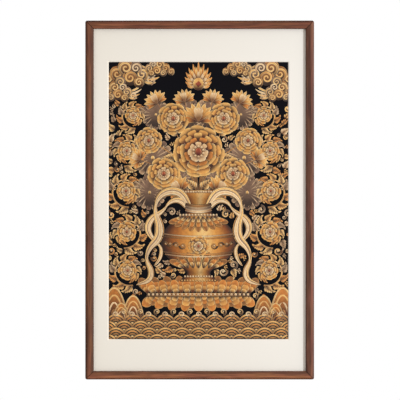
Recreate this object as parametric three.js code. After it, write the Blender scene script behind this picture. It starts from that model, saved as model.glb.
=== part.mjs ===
// A thangka textile panel behind a bevelled window mat, in a slim mitred wooden frame.
// Millimetres. +Z is up, the front faces -Y, and the frame's back lies in the plane Y = 0.
// The origin is the middle of the top rail's back face, where the frame hangs on a wall.

import * as THREE from "three";

// Outside of the frame
const FRAME_WIDTH = 580;
const FRAME_HEIGHT = 910;
const FRAME_DEPTH = 28;

// Section of the rails: across from the outer edge inwards, and up from the back to the front
const RAIL_WIDTH = 21;
const SHOULDER_UP = 22.5; // where the outer wall begins to round over
const RIDGE_IN = 7; // the highest line of the moulding, from the outer edge
const SIGHT_EDGE_UP = 24; // where the inner slope ends
const SIGHT_EDGE_ROUND = 1.4;
const REBATE_WIDTH = 8;
const REBATE_UP = 16; // the ledge that the mat bears against
const ARC_STEPS = 10;

// Stack held in the rebate, from the front to the back
const MAT_THICKNESS = 2.4;
const CLOTH_THICKNESS = 1.5;
const BOARD_THICKNESS = 4;

// Window of the mat: its clear size, and its place from the middle of the frame
const WINDOW_WIDTH = 456;
const WINDOW_HEIGHT = 704;
const WINDOW_SHIFT_X = -3.2;
const WINDOW_SHIFT_Z = -1.5;
const MAT_BEVEL = MAT_THICKNESS; // the window is cut at 45 degrees
const CLOTH_UNDER_MAT = 10; // how far the cloth runs on behind the mat

// Pieces that touch stand this far apart
const GAP = 0.3;

// Places that follow from the sizes above
const TOP_EDGE_Z = (RAIL_WIDTH - REBATE_WIDTH) / 2;
const MIDDLE_Z = TOP_EDGE_Z - FRAME_HEIGHT / 2;
const SEAT_WIDTH = FRAME_WIDTH - 2 * (RAIL_WIDTH - REBATE_WIDTH) - 2 * GAP;
const SEAT_HEIGHT = FRAME_HEIGHT - 2 * (RAIL_WIDTH - REBATE_WIDTH) - 2 * GAP;
const MAT_BACK = REBATE_UP - GAP - MAT_THICKNESS;
const CLOTH_BACK = MAT_BACK - GAP - CLOTH_THICKNESS;
const BOARD_BACK = CLOTH_BACK - GAP - BOARD_THICKNESS;

const FORWARD = new THREE.Vector3(0, -1, 0);

const walnut = new THREE.MeshStandardMaterial({ color: 0x734c39, roughness: 0.5, metalness: 0 });
const creamBoard = new THREE.MeshStandardMaterial({ color: 0xf5eee2, roughness: 0.9, metalness: 0 });
const goldCloth = new THREE.MeshStandardMaterial({ color: 0x96714c, roughness: 0.6, metalness: 0 });
const plainBoard = new THREE.MeshStandardMaterial({ color: 0xa98a66, roughness: 0.85, metalness: 0 });

function railSection() {
  const section = new THREE.Shape();
  const slope = (FRAME_DEPTH - SIGHT_EDGE_UP) / (RAIL_WIDTH - RIDGE_IN);
  section.moveTo(0, 0);
  section.lineTo(0, SHOULDER_UP);
  section.absellipse(
    RIDGE_IN, SHOULDER_UP, RIDGE_IN, FRAME_DEPTH - SHOULDER_UP, Math.PI, Math.PI / 2, true,
  );
  section.lineTo(RAIL_WIDTH - SIGHT_EDGE_ROUND, SIGHT_EDGE_UP + slope * SIGHT_EDGE_ROUND);
  section.quadraticCurveTo(RAIL_WIDTH, SIGHT_EDGE_UP, RAIL_WIDTH, SIGHT_EDGE_UP - SIGHT_EDGE_ROUND);
  section.lineTo(RAIL_WIDTH, REBATE_UP);
  section.lineTo(RAIL_WIDTH - REBATE_WIDTH, REBATE_UP);
  section.lineTo(RAIL_WIDTH - REBATE_WIDTH, 0);
  return section;
}

// A rail starts at one outer corner of the frame and runs to the next. Its ends are mitred:
// a point of the section that lies further in starts later and ends sooner.
function rail(name, length, corner, inward) {
  const geometry = new THREE.ExtrudeGeometry(railSection(), {
    depth: length,
    bevelEnabled: false,
    curveSegments: ARC_STEPS,
  });
  const points = geometry.getAttribute("position");
  const setback = GAP / Math.SQRT2;
  for (let i = 0; i < points.count; i += 1) {
    const mitre = points.getX(i) + setback;
    const atStart = points.getZ(i) < length / 2;
    points.setZ(i, atStart ? mitre : length - mitre);
  }
  const mesh = new THREE.Mesh(geometry, walnut);
  const along = new THREE.Vector3().crossVectors(inward, FORWARD);
  mesh.name = name;
  mesh.position.copy(corner);
  mesh.quaternion.setFromRotationMatrix(new THREE.Matrix4().makeBasis(inward, FORWARD, along));
  return mesh;
}

function frameRails() {
  const rails = new THREE.Group();
  const right = FRAME_WIDTH / 2;
  const top = FRAME_HEIGHT / 2;
  const corner = (x, z) => new THREE.Vector3(x, 0, z);
  const inward = (x, z) => new THREE.Vector3(x, 0, z);
  rails.add(
    rail("rail_top", FRAME_WIDTH, corner(right, top), inward(0, -1)),
    rail("rail_left", FRAME_HEIGHT, corner(-right, top), inward(1, 0)),
    rail("rail_bottom", FRAME_WIDTH, corner(-right, -top), inward(0, 1)),
    rail("rail_right", FRAME_HEIGHT, corner(right, -top), inward(-1, 0)),
  );
  return rails;
}

function rectangle(target, width, height, x, z) {
  target.moveTo(x - width / 2, z - height / 2);
  target.lineTo(x + width / 2, z - height / 2);
  target.lineTo(x + width / 2, z + height / 2);
  target.lineTo(x - width / 2, z + height / 2);
  target.closePath();
  return target;
}

// A board cut to fill the rebate, with a window whose edges widen towards the front.
function windowMat() {
  const outline = rectangle(new THREE.Shape(), SEAT_WIDTH, SEAT_HEIGHT, 0, 0);
  const window = rectangle(
    new THREE.Path(), WINDOW_WIDTH, WINDOW_HEIGHT, WINDOW_SHIFT_X, WINDOW_SHIFT_Z,
  );
  outline.holes.push(window);
  const geometry = new THREE.ExtrudeGeometry(outline, { depth: MAT_THICKNESS, bevelEnabled: false });
  const points = geometry.getAttribute("position");
  for (let i = 0; i < points.count; i += 1) {
    const x = points.getX(i) - WINDOW_SHIFT_X;
    const z = points.getY(i) - WINDOW_SHIFT_Z;
    const onWindow = Math.abs(x) < WINDOW_WIDTH / 2 + GAP && Math.abs(z) < WINDOW_HEIGHT / 2 + GAP;
    const onFront = points.getZ(i) > MAT_THICKNESS / 2;
    if (onWindow && onFront) {
      points.setX(i, points.getX(i) + Math.sign(x) * MAT_BEVEL);
      points.setY(i, points.getY(i) + Math.sign(z) * MAT_BEVEL);
    }
  }
  const mesh = new THREE.Mesh(geometry, creamBoard);
  mesh.name = "window_mat";
  mesh.position.set(0, -MAT_BACK, 0);
  mesh.rotation.x = Math.PI / 2;
  return mesh;
}

// A flat sheet that stands in the rebate, with its back face at the given height of the section.
function flatSheet(name, width, height, thickness, backUp, x, z, material) {
  const mesh = new THREE.Mesh(new THREE.BoxGeometry(width, thickness, height), material);
  mesh.name = name;
  mesh.position.set(x, -backUp - thickness / 2, z);
  return mesh;
}

function textilePanel() {
  const width = WINDOW_WIDTH + 2 * CLOTH_UNDER_MAT;
  const height = WINDOW_HEIGHT + 2 * CLOTH_UNDER_MAT;
  return flatSheet(
    "textile_panel", width, height, CLOTH_THICKNESS, CLOTH_BACK, WINDOW_SHIFT_X, WINDOW_SHIFT_Z, goldCloth,
  );
}

function backingBoard() {
  return flatSheet(
    "backing_board", SEAT_WIDTH, SEAT_HEIGHT, BOARD_THICKNESS, BOARD_BACK, 0, 0, plainBoard,
  );
}

const panel = new THREE.Group();
panel.add(frameRails(), windowMat(), textilePanel(), backingBoard());
panel.position.z = MIDDLE_Z;

export default panel;
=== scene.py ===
# %% [markdown]
# A thangka textile panel in a wooden frame
#
# The real object is a flat piece of gold embroidery on dark satin. It lies behind a cream mat with
# a bevelled window, in a slim walnut frame. The solid model already holds every size, so this
# lesson only dresses it: each piece is put where the frame says, in metres.

# %% Load the frame
import math

import bmesh
import bpy
import numpy as np
from mathutils import Matrix, Vector


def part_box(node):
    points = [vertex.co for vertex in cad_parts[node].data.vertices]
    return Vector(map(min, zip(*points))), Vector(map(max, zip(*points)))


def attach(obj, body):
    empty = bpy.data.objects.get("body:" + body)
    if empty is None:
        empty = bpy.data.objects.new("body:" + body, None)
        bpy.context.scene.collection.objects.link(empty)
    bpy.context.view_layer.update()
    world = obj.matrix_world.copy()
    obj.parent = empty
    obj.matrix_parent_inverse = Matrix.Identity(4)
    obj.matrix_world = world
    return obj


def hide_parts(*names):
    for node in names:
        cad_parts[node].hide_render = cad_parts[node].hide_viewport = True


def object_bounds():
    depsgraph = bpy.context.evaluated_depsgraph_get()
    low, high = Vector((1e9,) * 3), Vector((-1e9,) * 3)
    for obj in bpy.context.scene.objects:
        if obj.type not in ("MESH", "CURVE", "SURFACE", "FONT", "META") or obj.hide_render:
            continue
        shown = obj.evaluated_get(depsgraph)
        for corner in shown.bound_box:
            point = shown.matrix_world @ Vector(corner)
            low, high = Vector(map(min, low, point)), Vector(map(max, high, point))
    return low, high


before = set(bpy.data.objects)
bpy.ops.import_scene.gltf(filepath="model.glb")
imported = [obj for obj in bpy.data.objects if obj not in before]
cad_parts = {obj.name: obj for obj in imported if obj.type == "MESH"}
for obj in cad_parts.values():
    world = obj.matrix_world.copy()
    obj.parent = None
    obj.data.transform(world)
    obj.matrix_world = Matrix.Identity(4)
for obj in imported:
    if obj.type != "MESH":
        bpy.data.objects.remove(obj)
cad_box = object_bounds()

MM = 0.001
panel_low, panel_high = (Vector(corner) for corner in cad_box)
panel_middle = (panel_low + panel_high) / 2
print("the panel measures", [round(side / MM, 1) for side in panel_high - panel_low], "mm")

# %% [markdown]
# Camera
#
# The picture was taken straight on with a long lens, so the frame's sides run parallel. A camera
# several metres away gives that view. Its lens follows from the width that the image has to take
# in at the front of the frame, which is easier to reason about than an angle of view.

# %% Set up the camera
VIEW_WIDTH = 1012.9 * MM
CAMERA_DISTANCE = 4.5
CAMERA_SHIFT_X = 0.8 * MM
SENSOR_WIDTH = 36.0

camera_data = bpy.data.cameras.new("camera")
camera_data.sensor_width = SENSOR_WIDTH
camera_data.lens = SENSOR_WIDTH * CAMERA_DISTANCE / VIEW_WIDTH
camera = bpy.data.objects.new("camera", camera_data)
camera.location = (panel_middle.x + CAMERA_SHIFT_X, panel_low.y - CAMERA_DISTANCE, panel_middle.z)
camera.rotation_euler = (math.radians(90), 0, 0)
bpy.context.scene.collection.objects.link(camera)
bpy.context.scene.camera = camera
print("lens", round(camera_data.lens, 1), "mm")

# %% [markdown]
# Light
#
# One soft lamp stands on the right and throws the narrow shadow of the frame's inner edge on the
# mat. Warm surroundings fill the shadows, and the lamp is a little cooler, so that the mat stays
# cream where both fall on it. The camera sees the surroundings as plain white, while the fill that
# they give is weaker, so a Light Path node tells the two apart. A weak sun from behind shows the
# back, and the front never sees it.

# %% Define the node helper
def node(tree, kind, inputs=None, **settings):
    """Adds a shader node. A socket given as an input is linked, and any other value is set."""
    made = tree.nodes.new(kind)
    for key, value in settings.items():
        setattr(made, key, value)
    for key, value in (inputs or {}).items():
        if isinstance(value, bpy.types.NodeSocket):
            tree.links.new(value, made.inputs[key])
        else:
            made.inputs[key].default_value = value
    return made


print("helper: node")

# %% Set up the surroundings
FILL_STRENGTH = 0.494
FILL_LEAN = (0.2, -0.3, 0.2)
FILL_COLOUR = (1.06, 0.985, 0.925, 1.0)
WHITE = (1.0, 1.0, 1.0, 1.0)
world = bpy.data.worlds.new("studio")
world.use_nodes = True
bpy.context.scene.world = world
studio = world.node_tree
studio.nodes.clear()
seen = node(studio, "ShaderNodeBackground", {"Color": WHITE, "Strength": 1.0})
way = node(studio, "ShaderNodeTexCoord").outputs["Generated"]
lean = node(studio, "ShaderNodeVectorMath", {0: way, 1: FILL_LEAN}, operation="DOT_PRODUCT")
level = node(studio, "ShaderNodeMath", {0: lean.outputs["Value"], 1: FILL_STRENGTH}, operation="ADD")
fill = node(studio, "ShaderNodeBackground", {"Color": FILL_COLOUR, "Strength": level.outputs[0]})
path = node(studio, "ShaderNodeLightPath")
either = node(
    studio,
    "ShaderNodeMixShader",
    {0: path.outputs["Is Camera Ray"], 1: fill.outputs[0], 2: seen.outputs[0]},
)
node(studio, "ShaderNodeOutputWorld", {"Surface": either.outputs[0]})
bpy.context.scene.view_settings.view_transform = "Standard"
print("surroundings:", len(studio.nodes), "nodes")

# %% Set up the lamps
KEY_AZIMUTH = math.radians(43)
KEY_ELEVATION = math.radians(1)
KEY_DISTANCE = 4.0
KEY_SIZE = 0.5
KEY_POWER = 82.0
KEY_COLOUR = (0.957, 1.0, 1.033)
BACK_POWER = 1.6
BACK_SPREAD = math.radians(30)
BACK_WAY = Vector((-0.4, 1.0, 0.6))
key_data = bpy.data.lights.new("key_light", "AREA")
key_data.shape = "DISK"
key_data.size = KEY_SIZE
key_data.energy = KEY_POWER
key_data.color = KEY_COLOUR
key_light = bpy.data.objects.new("key_light", key_data)
towards_key = Vector((
    math.sin(KEY_AZIMUTH) * math.cos(KEY_ELEVATION),
    -math.cos(KEY_AZIMUTH) * math.cos(KEY_ELEVATION),
    math.sin(KEY_ELEVATION),
))
key_light.location = panel_middle + KEY_DISTANCE * towards_key
key_light.rotation_euler = towards_key.to_track_quat("Z", "Y").to_euler()
bpy.context.scene.collection.objects.link(key_light)

back_data = bpy.data.lights.new("back_light", "SUN")
back_data.energy = BACK_POWER
back_data.angle = BACK_SPREAD
back_light = bpy.data.objects.new("back_light", back_data)
back_light.rotation_euler = BACK_WAY.to_track_quat("Z", "Y").to_euler()
bpy.context.scene.collection.objects.link(back_light)
print("key light at", [round(x, 2) for x in key_light.location], "m")

# %% [markdown]
# Tools for finishes
#
# Every finish below is a node tree. A few small helpers keep the trees short: they blend or
# multiply two colours, do a sum, turn a value into colours along a ramp, make noise, and raise a
# surface so that it catches the light.

# %% Define the finish helpers
def blend(tree, factor, first, second, mode="MIX"):
    """The colour between two colours, or one laid over the other in the given mode."""
    made = node(tree, "ShaderNodeMix", {0: factor, 6: first, 7: second}, data_type="RGBA", blend_type=mode)
    return made.outputs[2]


def product(tree, first, second):
    """Two colours multiplied channel by channel."""
    return node(tree, "ShaderNodeVectorMath", {0: first, 1: second}, operation="MULTIPLY").outputs[0]


def sum_of(tree, operation, first, second=0.0):
    """A value worked out from one or two others."""
    return node(tree, "ShaderNodeMath", {0: first, 1: second}, operation=operation).outputs[0]


def ramp(tree, factor, stops):
    """Colours along a value: stops is a list of (place, colour)."""
    made = node(tree, "ShaderNodeValToRGB", {"Fac": factor})
    elements = made.color_ramp.elements
    while len(elements) < len(stops):
        elements.new(1.0)
    for element, (spot, shade) in zip(elements, stops):
        element.position = spot
        element.color = shade
    return made.outputs["Color"]


def noise(tree, place, scale, detail, distortion=0.0):
    """Random clouds of the given fineness, as a value between 0 and 1."""
    given = {"Vector": place, "Scale": scale, "Detail": detail, "Distortion": distortion}
    return node(tree, "ShaderNodeTexNoise", given).outputs["Fac"]


def raised(tree, shader, height, strength, distance):
    """Lets light fall on the surface as if it had the given height."""
    bump = node(tree, "ShaderNodeBump", {"Height": height, "Strength": strength, "Distance": distance})
    tree.links.new(bump.outputs["Normal"], shader.inputs["Normal"])


def colour(red, green, blue):
    """A colour given as 0 to 255 on screen, as the linear light that shaders work in."""
    shares = (red / 255, green / 255, blue / 255)
    linear = [s / 12.92 if s <= 0.04045 else ((s + 0.055) / 1.055) ** 2.4 for s in shares]
    return (*linear, 1.0)


def finish(name, **settings):
    """A new material with one Principled shader, whose plain values are set on its own sockets."""
    material = bpy.data.materials.new(name)
    material.use_nodes = True
    shader = material.node_tree.nodes["Principled BSDF"]
    for socket, value in settings.items():
        shader.inputs[socket.replace("_", " ")].default_value = value
    return material, material.node_tree, shader


print("helpers: blend, product, sum_of, ramp, noise, raised, colour, finish")

# %% [markdown]
# Walnut
#
# Walnut shows long streaks from dark to pale brown, with short dark pores along the grain, and its
# hue drifts between red and yellow along a plank. All these layers are the same kind of noise,
# squeezed across the rail and stretched along it. The grain runs along each rail, so upright rails
# and level rails get a finish of their own. Across the moulding each rail also gets painted shade
# and painted highlights: bands of brightness, dark at the edges, set for how the lamp on the right
# falls on that rail, with a little of each length's own tone in them. They follow an attribute of
# the rails called across, and a second one, seam, darkens the mitres.

# %% Define the walnut
FIGURE_SIZE, FIGURE_STRETCH = 8 * MM, 0.05
STREAK_SIZE, STREAK_STRETCH = 2.8 * MM, 0.07
PORE_SIZE, PORE_STRETCH = 0.5 * MM, 0.022
DRIFT_SIZE, DRIFT_STRETCH = 24 * MM, 0.3
PORE_DEPTH, PORE_COLOUR = 0.55, colour(48, 29, 20)
REDDISH, YELLOWISH = (1.0, 0.9, 0.98, 1), (0.97, 1.0, 0.84, 1)
STREAK_DEPTH = 0.8
SEAM_DARKENING = 0.95
WALNUT_SHADES = [
    # place on the noise, red, green, blue
    (0.25, 66, 37, 24),
    (0.45, 99, 59, 39),
    (0.62, 116, 72, 47),
    (0.8, 138, 91, 60),
]


def walnut(name, along, bands, tint=(1.0, 1.0, 1.0)):
    """Walnut with its grain along X (0) or Z (2). bands lists (share across, brightness) of painted shade and
    highlight.
    """
    material, tree, shader = finish(name, Specular_IOR_Level=0.3)
    place = node(tree, "ShaderNodeTexCoord").outputs["Object"]

    def grain(size, stretch, detail, distortion=0.0):
        """Noise with streaks of about the given width."""
        scale = [1.0 / size] * 3
        scale[along] *= stretch
        turned = node(tree, "ShaderNodeMapping", {"Vector": place, "Scale": scale}).outputs[0]
        return noise(tree, turned, 1.0, detail, distortion)

    figure = grain(FIGURE_SIZE, FIGURE_STRETCH, 5.0, 0.6)
    streaks = grain(STREAK_SIZE, STREAK_STRETCH, 4.0)
    pores = grain(PORE_SIZE, PORE_STRETCH, 2.0)
    body = ramp(tree, figure, [
        (spot, colour(*(value * share for value, share in zip(shade, tint))))
        for spot, *shade in WALNUT_SHADES
    ])
    streaked = blend(tree, STREAK_DEPTH, body, ramp(tree, streaks, [
        (0.32, (0.31, 0.29, 0.27, 1)),
        (0.68, (0.7, 0.7, 0.7, 1)),
    ]), "OVERLAY")
    pore_mask = ramp(tree, pores, [(0.6, (0, 0, 0, 1)), (0.7, (1, 1, 1, 1))])
    drift = ramp(tree, grain(DRIFT_SIZE, DRIFT_STRETCH, 2.0), [(0.36, REDDISH), (0.64, YELLOWISH)])
    warmed = product(tree, streaked, drift)
    tinted = blend(tree, sum_of(tree, "MULTIPLY", pore_mask, PORE_DEPTH), warmed, PORE_COLOUR)
    across = node(tree, "ShaderNodeAttribute", attribute_name="across").outputs["Fac"]
    band = ramp(tree, across, [(spot, (level / 2, level / 2, level / 2, 1)) for spot, level in bands])
    seam = node(tree, "ShaderNodeAttribute", attribute_name="seam").outputs["Fac"]
    kept = sum_of(tree, "SUBTRACT", 2.0, sum_of(tree, "MULTIPLY", seam, 2 * SEAM_DARKENING))
    # painted shade bands, darkened further at the mitre joints
    shade_and_seam = node(tree, "ShaderNodeVectorMath", {0: band, "Scale": kept}, operation="SCALE").outputs[0]
    shaded_walnut = product(tree, tinted, shade_and_seam)
    tree.links.new(shaded_walnut, shader.inputs["Base Color"])
    gloss = sum_of(tree, "ADD", sum_of(tree, "MULTIPLY", streaks, 0.25), 0.44)
    tree.links.new(gloss, shader.inputs["Roughness"])
    height = sum_of(tree, "SUBTRACT", sum_of(tree, "MULTIPLY", streaks, 0.4), pore_mask)
    raised(tree, shader, height, 0.35, 0.12 * MM)
    return material


print("walnut shades:", len(WALNUT_SHADES))

# %% Make a walnut finish for each rail
# Painted shade and highlight across each rail, with a little of its own tone: darker edges, a brighter bottom
# rail and a bright outer shoulder on the right rail, as the lamp falls.
TOP_SHADE_BANDS = [
    # share across the rail from its outer edge, painted brightness
    (0, 0.4), (0.12, 0.5), (0.26, 1.04), (0.44, 1.3), (0.58, 1.02), (0.68, 0.76), (0.8, 1.28), (1, 0.8),
]
LEFT_SHADE_BANDS = [
    (0, 0.66), (0.18, 0.66), (0.3, 0.8), (0.45, 1.02), (0.55, 1.06), (0.66, 1.04), (0.78, 0.7), (1, 0.56),
]
BOTTOM_SHADE_BANDS = [
    (0, 0.9), (0.1, 1.1), (0.2, 1.22), (0.34, 1.88), (0.5, 1.56), (0.65, 1.24), (0.8, 0.84), (1, 0.76),
]
RIGHT_SHADE_BANDS = [
    (0, 0.94), (0.16, 0.98), (0.3, 1.46), (0.4, 0.92), (0.53, 0.64), (0.68, 0.78), (0.82, 0.76), (1, 0.52),
]
# The top rail's tint makes it a little redder. The right rail's tint is painted sheen: it greys the rail that
# faces the lamp, like a glossy highlight.
TOP_TINT, RIGHT_SHEEN_TINT = (1, 0.97, 0.97), (1, 1.03, 1.2)
walnut_top = walnut("walnut_top", 0, TOP_SHADE_BANDS, TOP_TINT)
walnut_left = walnut("walnut_left", 2, LEFT_SHADE_BANDS)
walnut_bottom = walnut("walnut_bottom", 0, BOTTOM_SHADE_BANDS)
walnut_right = walnut("walnut_right", 2, RIGHT_SHADE_BANDS, RIGHT_SHEEN_TINT)
print("walnut runs along X on level rails and along Z on upright rails")

# %% [markdown]
# Rails
#
# A frame maker runs one moulding and cuts four lengths at 45 degrees. The section starts here
# from a single point that is spun through a quarter turn for the rounded shoulder. The other
# corners are added, the face is extruded, and the ends are sheared into mitres, because a point
# that lies further in has a shorter way to go.

# %% Define the moulding
FRAME_DEPTH = panel_high.y - panel_low.y
RAIL_WIDTH = 21 * MM
SHOULDER_UP = 22.5 * MM
RIDGE_IN = 7 * MM
SIGHT_EDGE_UP = 24 * MM
REBATE_WIDTH = 8 * MM
REBATE_UP = 16 * MM
MITRE_SETBACK = 0.02 * MM
SHOULDER_STEPS = 14


def new_piece(name, bm, materials, smooth_angle=None):
    """Turns a bmesh into a piece that rides on the frame's only body."""
    mesh = bpy.data.meshes.new(name)
    bm.to_mesh(mesh)
    bm.free()
    if smooth_angle is not None:
        mesh.shade_smooth()
        mesh.set_sharp_from_angle(angle=math.radians(smooth_angle))
    for material in materials:
        mesh.materials.append(material)
    piece = bpy.data.objects.new(name, mesh)
    bpy.context.scene.collection.objects.link(piece)
    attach(piece, "root")
    return piece


def moulding(length):
    """A mitred length of the moulding: X inwards, Y from the back to the front, Z along the rail."""
    bm = bmesh.new()
    shoulder = bm.verts.new((0, SHOULDER_UP, 0))
    bmesh.ops.spin(
        bm, geom=[shoulder], cent=(RIDGE_IN, SHOULDER_UP, 0), axis=(0, 0, 1),
        angle=-math.radians(90), steps=SHOULDER_STEPS,
    )
    flatten = Matrix.Translation((0, -SHOULDER_UP, 0))
    bmesh.ops.scale(
        bm, vec=(1, (FRAME_DEPTH - SHOULDER_UP) / RIDGE_IN, 1), verts=bm.verts[:], space=flatten,
    )
    outline = sorted(bm.verts, key=lambda point: point.co.x)
    for across, up in (
        (RAIL_WIDTH, SIGHT_EDGE_UP),
        (RAIL_WIDTH, REBATE_UP),
        (RAIL_WIDTH - REBATE_WIDTH, REBATE_UP),
        (RAIL_WIDTH - REBATE_WIDTH, 0),
        (0, 0),
    ):
        outline.append(bm.verts.new((across, up, 0)))
    section = bm.faces.new(outline)
    swept = bmesh.ops.extrude_face_region(bm, geom=[section], use_keep_orig=True)
    far_end = [part for part in swept["geom"] if isinstance(part, bmesh.types.BMVert)]
    bmesh.ops.translate(bm, vec=(0, 0, length), verts=far_end)
    for point in bm.verts:
        mitre = point.co.x + MITRE_SETBACK
        point.co.z = mitre if point.co.z < length / 2 else length - mitre
    bmesh.ops.recalc_face_normals(bm, faces=bm.faces[:])
    return bm


print("moulding", round(RAIL_WIDTH / MM, 1), "by", round(FRAME_DEPTH / MM, 1), "mm")

# %% [markdown]
# Edges and corners
#
# Bevels ease the edges that a hand would touch. The outer corners of a glued frame are sanded a
# little round, and the mitre shows as a fine dark line. Cuts through the rail give the points that
# a rounding needs, and the front of each mitre is sunk to make a groove.

# %% Define the edges and corners
MITRE_GROOVE = 0.8 * MM
CORNER_ROUND = 5 * MM
CORNER_STEPS = 6
EASED_EDGES = [
    # across the rail, up from its back, size, steps
    (RAIL_WIDTH, SIGHT_EDGE_UP, 1.3 * MM, 5),
    (0, 0, 0.7 * MM, 3),
    (RAIL_WIDTH - REBATE_WIDTH, 0, 0.4 * MM, 2),
]


def eased(bm, across, up, offset, segments):
    """Bevels the long edge that runs through one corner of the section."""
    corner = Vector((across, up))
    edges = [
        edge for edge in bm.edges
        if all((Vector(end.co.xy) - corner).length < 0.01 * MM for end in edge.verts)
    ]
    bmesh.ops.bevel(
        bm, geom=edges, offset=offset, affect="EDGES", segments=segments, profile=0.5, material=-1,
    )


def rounded_corners(bm, length):
    """Rounds the outer corners of the frame: square rings round a centre become circles."""
    for k in range(1, CORNER_STEPS + 1):
        way = CORNER_ROUND * k / CORNER_STEPS
        cuts = [((0, 0, way), (0, 0, 1)), ((0, 0, length - way), (0, 0, 1))]
        if k == CORNER_STEPS:
            cuts.append(((way, 0, 0), (1, 0, 0)))
        for plane, normal in cuts:
            everything = [*bm.verts, *bm.edges, *bm.faces]
            bmesh.ops.bisect_plane(bm, geom=everything, plane_co=plane, plane_no=normal)
    for point in bm.verts:
        far = point.co.z > length / 2
        across = CORNER_ROUND - point.co.x
        along = CORNER_ROUND - (length - point.co.z if far else point.co.z)
        if across > 0 and along > 0:
            share = max(across, along) / math.hypot(across, along)
            point.co.x = CORNER_ROUND - across * share
            moved = CORNER_ROUND - along * share
            point.co.z = length - moved if far else moved


def grooved_mitres(bm, length):
    """Sinks the front of both mitres, so that the joint shows as a fine groove, and marks it as seam."""
    seam = bm.verts.layers.float.new("seam")
    inside = MITRE_SETBACK + MITRE_GROOVE * math.sqrt(2)
    for end, lean in ((inside, -1), (length - inside, 1)):
        everything = [*bm.verts, *bm.edges, *bm.faces]
        bmesh.ops.bisect_plane(bm, geom=everything, plane_co=(0, 0, end), plane_no=(1, 0, lean))
    for point in bm.verts:
        way = min(point.co.z, length - point.co.z)
        if way - point.co.x < inside / 2 and point.co.y > REBATE_UP + MITRE_GROOVE:
            point.co.y -= MITRE_GROOVE
            point[seam] = 1.0


def marked_across(bm):
    """Notes on each point how far across the rail it lies, for the bands of painted shade on the walnut."""
    across = bm.verts.layers.float.new("across")
    for point in bm.verts:
        point[across] = point.co.x / RAIL_WIDTH


print("corners rounded by", round(CORNER_ROUND / MM, 1), "mm")

# %% Make the rails
RAIL_CREASE = 30
FORWARD = Vector((0, -1, 0))


def rail(node_name, length, corner, inward, material):
    """One dressed rail, turned so that its section points inwards from a corner of the frame."""
    bm = moulding(length)
    for across, up, size, steps in EASED_EDGES:
        eased(bm, across, up, size, steps)
    grooved_mitres(bm, length)
    rounded_corners(bm, length)
    marked_across(bm)
    turn = Matrix((inward, FORWARD, inward.cross(FORWARD))).transposed().to_4x4()
    bmesh.ops.transform(bm, matrix=Matrix.Translation(corner) @ turn, verts=bm.verts[:])
    piece = new_piece(node_name.replace("rail_", "moulding_"), bm, [material], RAIL_CREASE)
    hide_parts(node_name)
    return piece


frame_width, frame_height = panel_high.x - panel_low.x, panel_high.z - panel_low.z
back = panel_high.y
left_x, right_x, low_z, high_z = panel_low.x, panel_high.x, panel_low.z, panel_high.z
rails = [
    rail("rail_top", frame_width, Vector((right_x, back, high_z)), Vector((0, 0, -1)), walnut_top),
    rail("rail_left", frame_height, Vector((left_x, back, high_z)), Vector((1, 0, 0)), walnut_left),
    rail("rail_bottom", frame_width, Vector((left_x, back, low_z)), Vector((0, 0, 1)), walnut_bottom),
    rail("rail_right", frame_height, Vector((right_x, back, low_z)), Vector((-1, 0, 0)), walnut_right),
]
print("rails:", {piece.name: len(piece.data.polygons) for piece in rails})

# %% [markdown]
# Mat board
#
# The mat is thick paper board, cream on its face and paler in its core, which shows where the
# window is cut on the slant. Four rectangles, two at the front and two at the back, are bridged
# in turn into one closed ring. The slanted faces get the second finish. Shade is painted into the
# paper: it darkens a little towards its upper and lower ends, where the light falls off, and turns
# a little yellower towards its left side, away from the lamp.

# %% Define the paper
WINDOW_INSET = 10 * MM
cloth_low, cloth_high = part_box("textile_panel")
mat_low, mat_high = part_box("window_mat")
window_low = Vector((cloth_low.x + WINDOW_INSET, 0, cloth_low.z + WINDOW_INSET))
window_high = Vector((cloth_high.x - WINDOW_INSET, 0, cloth_high.z - WINDOW_INSET))
# Painted shade: the paper darkens between these distances from the middle, in metres, and turns yellower
# towards the left, away from the lamp.
END_SHADE_FROM, END_SHADE_TO = 0.12, 0.42
LEFT_SHADE_TINT = (1.0, 0.982, 0.937, 1)


def paper(name, base, shade, ends, grain_size):
    """Matt paper: faint clouds of a second shade, a fine tooth, and painted shade: a third colour towards its
    ends and a yellower tint towards its left.
    """
    material, tree, shader = finish(name, Roughness=0.92, Specular_IOR_Level=0.25)
    place = node(tree, "ShaderNodeTexCoord").outputs["Object"]
    clouds = node(tree, "ShaderNodeTexNoise", {"Vector": place, "Scale": 14.0, "Detail": 3.0})
    tooth = node(tree, "ShaderNodeTexNoise", {"Vector": place, "Scale": 1 / grain_size, "Detail": 4.0})
    spot = node(tree, "ShaderNodeSeparateXYZ", {0: place}).outputs
    from_middle = sum_of(tree, "ABSOLUTE", sum_of(tree, "SUBTRACT", spot["Z"], panel_middle.z))
    from_left = sum_of(tree, "SUBTRACT", spot["X"], mat_low.x)
    left_shade = ramp(tree, from_left, [(0.0, LEFT_SHADE_TINT), (mat_high.x - mat_low.x, WHITE)])
    end_shade = ramp(tree, from_middle, [(END_SHADE_FROM, base), (END_SHADE_TO, ends)])
    painted_shade = blend(tree, 1.0, end_shade, left_shade, "MULTIPLY")
    mottled = blend(tree, clouds.outputs["Fac"], painted_shade, blend(tree, 0.5, painted_shade, shade))
    flecked = blend(tree, 0.06, mottled, tooth.outputs["Color"], "SOFT_LIGHT")
    tree.links.new(flecked, shader.inputs["Base Color"])
    raised(tree, shader, tooth.outputs["Fac"], 0.25, 0.1 * MM)
    return material


print("window", [round(side / MM, 1) for side in window_high - window_low], "mm")

# %% Make the mat
MAT_BEVEL = mat_high.y - mat_low.y
SLANT = 1


def rectangle_edges(bm, low, high, depth):
    """Four edges round an upright rectangle."""
    corners = [(low.x, low.z), (high.x, low.z), (high.x, high.z), (low.x, high.z)]
    points = [bm.verts.new((x, depth, z)) for x, z in corners]
    return [bm.edges.new((points[i], points[(i + 1) % 4])) for i in range(4)]


# The third colour of each paper is painted shade towards the upper and lower ends.
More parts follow.
